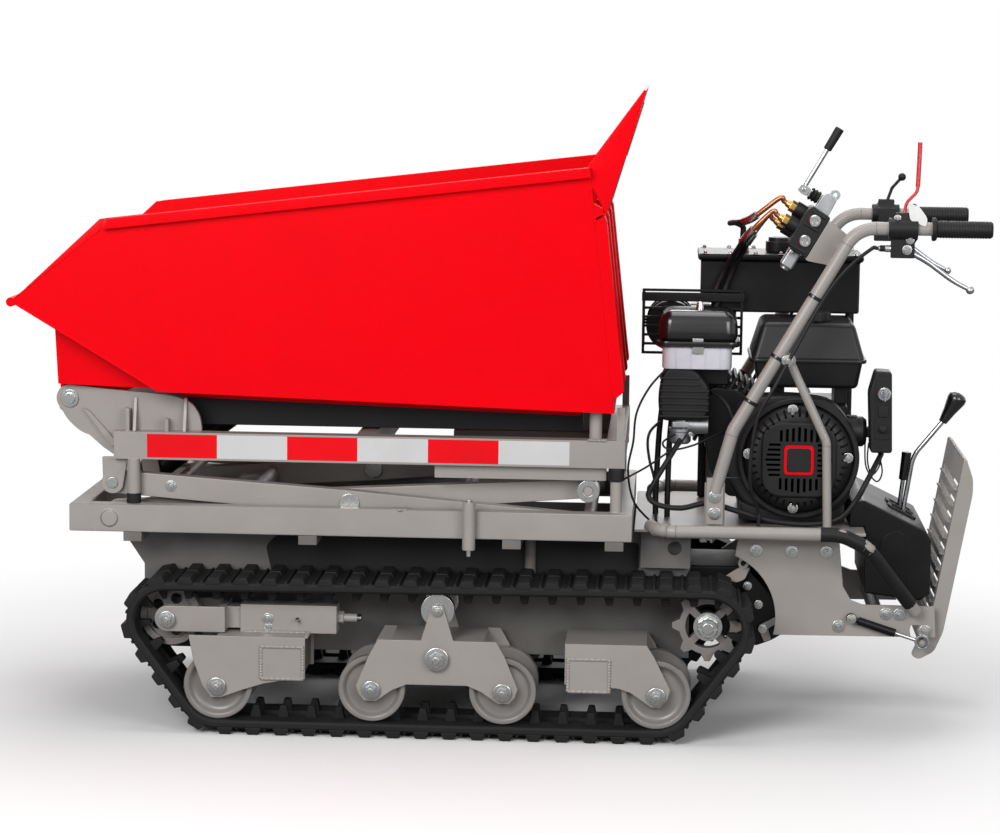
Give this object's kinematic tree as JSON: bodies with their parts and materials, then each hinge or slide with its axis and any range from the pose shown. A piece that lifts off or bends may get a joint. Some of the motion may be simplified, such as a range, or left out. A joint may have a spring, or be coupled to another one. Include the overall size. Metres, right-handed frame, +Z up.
{
  "type": "tracked power carrier",
  "caption": "Walk-behind crawler carrier with rubber tracks, a scissor lift, a forward tipping bin, a petrol power pack, handlebars with levers and a folding standing platform.",
  "frame": {"origin": "on the floor under the centre of the whole machine", "axes": "+Z up, +X from the pouring lip towards the operator, -Y is the machine's left side"},
  "size_m": [2.1, 0.8, 1.39],
  "materials": {
    "red_paint": "gloss red paint",
    "grey_paint": "satin warm grey paint",
    "track_rubber": "matt moulded rubber",
    "grip_rubber": "soft grip",
    "black_plastic": "textured black plastic",
    "black_paint": "black paint",
    "red_lever": "red sleeve",
    "bright_steel": "zinc plated or ground steel",
    "cast_alloy": "cast, painted dark"
  },
  "bodies": {
    "chassis": {"chassis_frame": "grey_paint", "lift_base_frame": "grey_paint", "engine_deck": "grey_paint", "rear_side_plates": "grey_paint", "transmission": "cast_alloy", "roller_brackets": "grey_paint", "track_belts": "track_rubber", "rest_buffers": "track_rubber", "engine_block": "cast_alloy", "fan_shroud": "black_plastic", "recoil_starter": "black_paint", "fuel_tank": "black_plastic", "air_cleaner": "black_plastic", "muffler": "bright_steel", "muffler_guard": "black_paint", "key_panel": "black_plastic", "hydraulic_tank": "black_paint", "control_valve": "black_paint", "hydraulic_hoses": "track_rubber", "handlebars": "grey_paint", "handlebar_braces": "grey_paint", "hand_grips": "grip_rubber", "lever_housings": "black_plastic", "control_cables": "track_rubber", "console_cover": "black_plastic"},
    "sprocket_left": {"sprocket_left": "grey_paint"},
    "sprocket_right": {"sprocket_right": "grey_paint"},
    "tensioner": {"idler_yokes": "grey_paint"},
    "idlers": {"idler_wheels": "grey_paint"},
    "front_rollers": {"front_rollers": "grey_paint"},
    "rear_rollers": {"rear_rollers": "grey_paint"},
    "bogies": {"bogies": "grey_paint"},
    "bogie_front_rollers": {"bogie_front_rollers": "grey_paint"},
    "bogie_rear_rollers": {"bogie_rear_rollers": "grey_paint"},
    "carrier_rollers": {"carrier_rollers": "bright_steel"},
    "inner_arms": {"inner_arms": "grey_paint", "centre_bolts": "bright_steel"},
    "upper_arm_rollers": {"upper_arm_rollers": "bright_steel"},
    "outer_arms": {"outer_arms": "grey_paint"},
    "lower_arm_rollers": {"lower_arm_rollers": "bright_steel"},
    "upper_frame": {"upper_frame": "grey_paint", "frame_pins": "bright_steel"},
    "bin": {"bin": "red_paint"},
    "lift_barrels": {"lift_barrels": "black_paint"},
    "lift_rods": {"lift_rods": "bright_steel"},
    "tip_barrel": {"tip_barrel": "black_paint"},
    "tip_rod": {"tip_rod": "bright_steel"},
    "fuel_cap": {"fuel_cap": "black_plastic"},
    "tank_filler_cap": {"tank_filler_cap": "black_plastic"},
    "ignition_key": {"ignition_key": "bright_steel"},
    "valve_lever": {"valve_lever": "black_paint"},
    "steering_lever_left": {"steering_lever_left": "bright_steel"},
    "steering_lever_right": {"steering_lever_right": "bright_steel"},
    "drive_lever": {"drive_lever": "red_lever"},
    "throttle_lever": {"throttle_lever": "black_paint"},
    "shift_lever": {"shift_lever": "bright_steel"},
    "range_lever": {"range_lever": "bright_steel"},
    "step_platform": {"step_platform": "grey_paint"},
    "gas_spring_barrel": {"gas_spring_barrel": "black_paint"},
    "gas_spring_rod": {"gas_spring_rod": "bright_steel"}
  },
  "joints": [
    {"name": "sprocket_left_spin", "type": "hinge", "parent": "chassis", "child": "sprocket_left", "pos_m": [0.464, -0.31, 0.246], "axis": [0, 1, 0], "continuous": true},
    {"name": "sprocket_right_spin", "type": "hinge", "parent": "chassis", "child": "sprocket_right", "pos_m": [0.464, 0.31, 0.246], "axis": [0, 1, 0], "continuous": true},
    {"name": "track_tension", "type": "slide", "parent": "chassis", "child": "tensioner", "axis": [1, 0, 0], "range_m": [0, 0.02]},
    {"name": "idler_spin", "type": "hinge", "parent": "tensioner", "child": "idlers", "pos_m": [-0.7, 0, 0.244], "axis": [0, 1, 0], "continuous": true},
    {"name": "front_roller_spin", "type": "hinge", "parent": "chassis", "child": "front_rollers", "pos_m": [-0.588, 0, 0.1045], "axis": [0, 1, 0], "continuous": true},
    {"name": "rear_roller_spin", "type": "hinge", "parent": "chassis", "child": "rear_rollers", "pos_m": [0.356, 0, 0.1045], "axis": [0, 1, 0], "continuous": true},
    {"name": "bogie_rock", "type": "hinge", "parent": "chassis", "child": "bogies", "pos_m": [-0.114, 0, 0.175], "axis": [0, 1, 0], "range_deg": [-1, 1]},
    {"name": "bogie_front_roller_spin", "type": "hinge", "parent": "bogies", "child": "bogie_front_rollers", "pos_m": [-0.255, 0, 0.1045], "axis": [0, 1, 0], "continuous": true},
    {"name": "bogie_rear_roller_spin", "type": "hinge", "parent": "bogies", "child": "bogie_rear_rollers", "pos_m": [0.027, 0, 0.1045], "axis": [0, 1, 0], "continuous": true},
    {"name": "carrier_roller_spin", "type": "hinge", "parent": "bogies", "child": "carrier_rollers", "pos_m": [-0.114, 0, 0.27778], "axis": [0, 1, 0], "continuous": true},
    {"name": "lift", "type": "hinge", "parent": "chassis", "child": "inner_arms", "pos_m": [-0.83, 0, 0.457], "axis": [0, -1, 0], "range_deg": [0, 40]},
    {"name": "upper_arm_roller_spin", "type": "hinge", "parent": "inner_arms", "child": "upper_arm_rollers", "pos_m": [0.202, 0, 0.529], "axis": [0, 1, 0], "continuous": true},
    {"name": "scissor", "type": "hinge", "parent": "inner_arms", "child": "outer_arms", "pos_m": [-0.314, 0, 0.493], "axis": [0, -1, 0], "range_deg": [-80, 0]},
    {"name": "lower_arm_roller_spin", "type": "hinge", "parent": "outer_arms", "child": "lower_arm_rollers", "pos_m": [0.202, 0, 0.457], "axis": [0, 1, 0], "continuous": true},
    {"name": "frame_level", "type": "hinge", "parent": "outer_arms", "child": "upper_frame", "pos_m": [-0.83, 0, 0.529], "axis": [0, -1, 0], "range_deg": [0, 40]},
    {"name": "tip", "type": "hinge", "parent": "upper_frame", "child": "bin", "pos_m": [-0.926, 0, 0.709], "axis": [0, -1, 0], "range_deg": [0, 55]},
    {"name": "tip_cylinder_swing", "type": "hinge", "parent": "upper_frame", "child": "tip_barrel", "pos_m": [-0.79, 0, 0.51], "axis": [0, -1, 0], "range_deg": [0, 44]},
    {"name": "tip_cylinder_stroke", "type": "slide", "parent": "tip_barrel", "child": "tip_rod", "axis": [0.7958, 0, 0.6055], "range_m": [0, 0.215]},
    {"name": "lift_cylinder_swing", "type": "hinge", "parent": "chassis", "child": "lift_barrels", "pos_m": [-0.722, 0, 0.285], "axis": [0, -1, 0], "range_deg": [0, 25]},
    {"name": "lift_cylinder_stroke", "type": "slide", "parent": "lift_barrels", "child": "lift_rods", "axis": [0.5505, 0, 0.8348], "range_m": [0, 0.12]},
    {"name": "fuel_cap_turn", "type": "hinge", "parent": "chassis", "child": "fuel_cap", "pos_m": [0.69, -0.08, 0.89], "axis": [0, 0, 1], "range_deg": [0, 90]},
    {"name": "filler_cap_turn", "type": "hinge", "parent": "chassis", "child": "tank_filler_cap", "pos_m": [0.612, 0.09, 1.03], "axis": [0, 0, 1], "range_deg": [0, 180]},
    {"name": "key_turn", "type": "hinge", "parent": "chassis", "child": "ignition_key", "pos_m": [0.836, -0.196, 0.74], "axis": [0, 1, 0], "range_deg": [0, 60]},
    {"name": "valve_lever_swing", "type": "hinge", "parent": "chassis", "child": "valve_lever", "pos_m": [0.65305, -0.15, 1.17855], "axis": [0, 1, 0], "range_deg": [-10, 10], "stiffness_Nm_per_rad": 4},
    {"name": "steering_left_squeeze", "type": "hinge", "parent": "chassis", "child": "steering_lever_left", "pos_m": [0.87, -0.272, 1.059], "axis": [0, -1, 0], "range_deg": [0, 18], "stiffness_Nm_per_rad": 3},
    {"name": "steering_right_squeeze", "type": "hinge", "parent": "chassis", "child": "steering_lever_right", "pos_m": [0.87, 0.272, 1.059], "axis": [0, -1, 0], "range_deg": [0, 18], "stiffness_Nm_per_rad": 3},
    {"name": "drive_lever_swing", "type": "hinge", "parent": "chassis", "child": "drive_lever", "pos_m": [0.862, -0.272, 1.128], "axis": [0, 1, 0], "range_deg": [-25, 20]},
    {"name": "throttle_swing", "type": "hinge", "parent": "chassis", "child": "throttle_lever", "pos_m": [0.862, 0.272, 1.128], "axis": [0, 1, 0], "range_deg": [-40, 0]},
    {"name": "shift_lever_swing", "type": "hinge", "parent": "chassis", "child": "shift_lever", "pos_m": [0.884, -0.06, 0.4], "axis": [0, 1, 0], "range_deg": [-7, 7]},
    {"name": "range_lever_swing", "type": "hinge", "parent": "chassis", "child": "range_lever", "pos_m": [0.884, 0.008, 0.4], "axis": [0, 1, 0], "range_deg": [-8, 8]},
    {"name": "platform_fold", "type": "hinge", "parent": "chassis", "child": "step_platform", "pos_m": [0.936, 0, 0.226], "axis": [0, 1, 0], "range_deg": [0, 78]},
    {"name": "gas_spring_swing", "type": "hinge", "parent": "chassis", "child": "gas_spring_barrel", "pos_m": [0.776, -0.23, 0.252], "axis": [0, 1, 0], "range_deg": [-7, 0]},
    {"name": "gas_spring_stroke", "type": "slide", "parent": "gas_spring_barrel", "child": "gas_spring_rod", "axis": [0.9529, 0, -0.3032], "range_m": [-0.03, 0]}
  ],
  "couplings": [
    {"joint": "scissor", "follows": "lift", "ratio": -2},
    {"joint": "frame_level", "follows": "lift", "ratio": 1},
    {"joint": "lift_cylinder_swing", "follows": "lift", "ratio": 0.5793},
    {"joint": "lift_cylinder_stroke", "follows": "lift", "m_per_rad": 0.1667},
    {"joint": "tip_cylinder_swing", "follows": "tip", "ratio": 0.7751},
    {"joint": "tip_cylinder_stroke", "follows": "tip", "m_per_rad": 0.22227},
    {"joint": "gas_spring_swing", "follows": "platform_fold", "ratio": -0.0753},
    {"joint": "gas_spring_stroke", "follows": "platform_fold", "m_per_rad": -0.01862}
  ]
}
